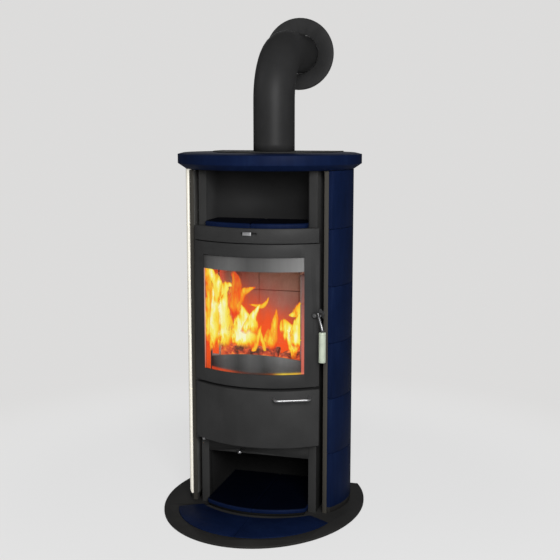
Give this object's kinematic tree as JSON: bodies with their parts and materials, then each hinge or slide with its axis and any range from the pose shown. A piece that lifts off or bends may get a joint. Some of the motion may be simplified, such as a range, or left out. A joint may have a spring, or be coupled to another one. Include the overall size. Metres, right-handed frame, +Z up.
{
  "type": "tiled stove",
  "caption": "Oval wood stove clad in glazed tiles, with a warming niche, a glazed fire door, an ash door, a log compartment and a flue bend to the wall.",
  "frame": {"origin": "on the floor, straight below the axis of the flue's upright run", "axes": "+Z up, -Y out of the stove's front, +X to the right as seen from the front"},
  "size_m": [0.72, 0.912, 1.787],
  "materials": {
    "black_steel": "matt black",
    "frame_steel": "matt grey",
    "flue_steel": "matt black",
    "blue_glaze": "gloss",
    "cast_iron": "rough",
    "firebrick": "rough",
    "glass": "clear",
    "chrome": "polished",
    "bright_steel": "brushed",
    "rope_seal": "knitted",
    "pale_grip": "satin"
  },
  "bodies": {
    "stove": {"floor_plate": "black_steel", "floor_tile_right": "blue_glaze", "floor_tile_left": "blue_glaze", "carcass_side_right": "black_steel", "carcass_side_left": "black_steel", "back_panel": "black_steel", "log_floor_tile_right": "blue_glaze", "log_floor_tile_left": "blue_glaze", "log_lining": "black_steel", "lintel_deck": "black_steel", "front_plate": "black_steel", "niche_lining": "black_steel", "shelf_tile_right": "blue_glaze", "shelf_tile_left": "blue_glaze", "fascia": "black_steel", "cladding_frame_right": "frame_steel", "cladding_frame_left": "frame_steel", "side_tile_right_1": "blue_glaze", "side_tile_right_2": "blue_glaze", "side_tile_right_3": "blue_glaze", "side_tile_right_4": "blue_glaze", "side_tile_right_5": "blue_glaze", "side_tile_right_6": "blue_glaze", "side_tile_left_1": "blue_glaze", "side_tile_left_2": "blue_glaze", "side_tile_left_3": "blue_glaze", "side_tile_left_4": "blue_glaze", "side_tile_left_5": "blue_glaze", "side_tile_left_6": "blue_glaze", "top_plate": "blue_glaze", "top_grille": "black_steel", "flue_bend": "flue_steel", "flue_spigot": "cast_iron", "wall_rosette": "flue_steel", "firebox": "cast_iron", "back_brick": "firebrick", "side_brick_right": "firebrick", "side_brick_left": "firebrick", "hearth_brick": "firebrick", "baffle_plate": "firebrick", "grate": "cast_iron", "log_guard": "bright_steel", "hinge_bracket_top": "frame_steel", "hinge_bracket_middle": "frame_steel", "hinge_bracket_bottom": "chrome", "door_catch": "frame_steel", "ash_box": "cast_iron"},
    "fire_door": {"fire_door": "black_steel", "door_glass": "glass", "glass_seal": "rope_seal", "glass_retainer": "bright_steel", "door_seal": "rope_seal", "lever_pivot": "frame_steel"},
    "door_lever": {"door_lever": "bright_steel", "door_grip": "pale_grip"},
    "ash_door": {"ash_door": "black_steel", "ash_door_handle": "chrome"},
    "ash_pan": {"ash_pan": "frame_steel"},
    "air_slider": {"air_slider": "chrome"},
    "air_rod": {"air_rod": "chrome"}
  },
  "joints": [
    {"name": "fire_door_hinge", "type": "hinge", "parent": "stove", "child": "fire_door", "pos_m": [-0.22, -0.219, 0.7265], "axis": [0, 0, -1], "range_deg": [0, 110]},
    {"name": "door_lever_pivot", "type": "hinge", "parent": "fire_door", "child": "door_lever", "pos_m": [0.216, -0.2485, 0.731], "axis": [0, -1, 0], "range_deg": [0, 60]},
    {"name": "ash_door_hinge", "type": "hinge", "parent": "stove", "child": "ash_door", "pos_m": [-0.22, -0.219, 0.3655], "axis": [0, 0, -1], "range_deg": [0, 110]},
    {"name": "ash_pan_slide", "type": "slide", "parent": "stove", "child": "ash_pan", "axis": [0, -1, 0], "range_m": [0, 0.19]},
    {"name": "air_slider_slide", "type": "slide", "parent": "stove", "child": "air_slider", "axis": [1, 0, 0], "range_m": [-0.013, 0.022]},
    {"name": "air_rod_slide", "type": "slide", "parent": "stove", "child": "air_rod", "axis": [0, -1, 0], "range_m": [0, 0.03]}
  ],
  "couplings": [
    {"joint": "ash_pan_slide", "follows": "ash_door_hinge", "m_per_rad": 0.095}
  ]
}
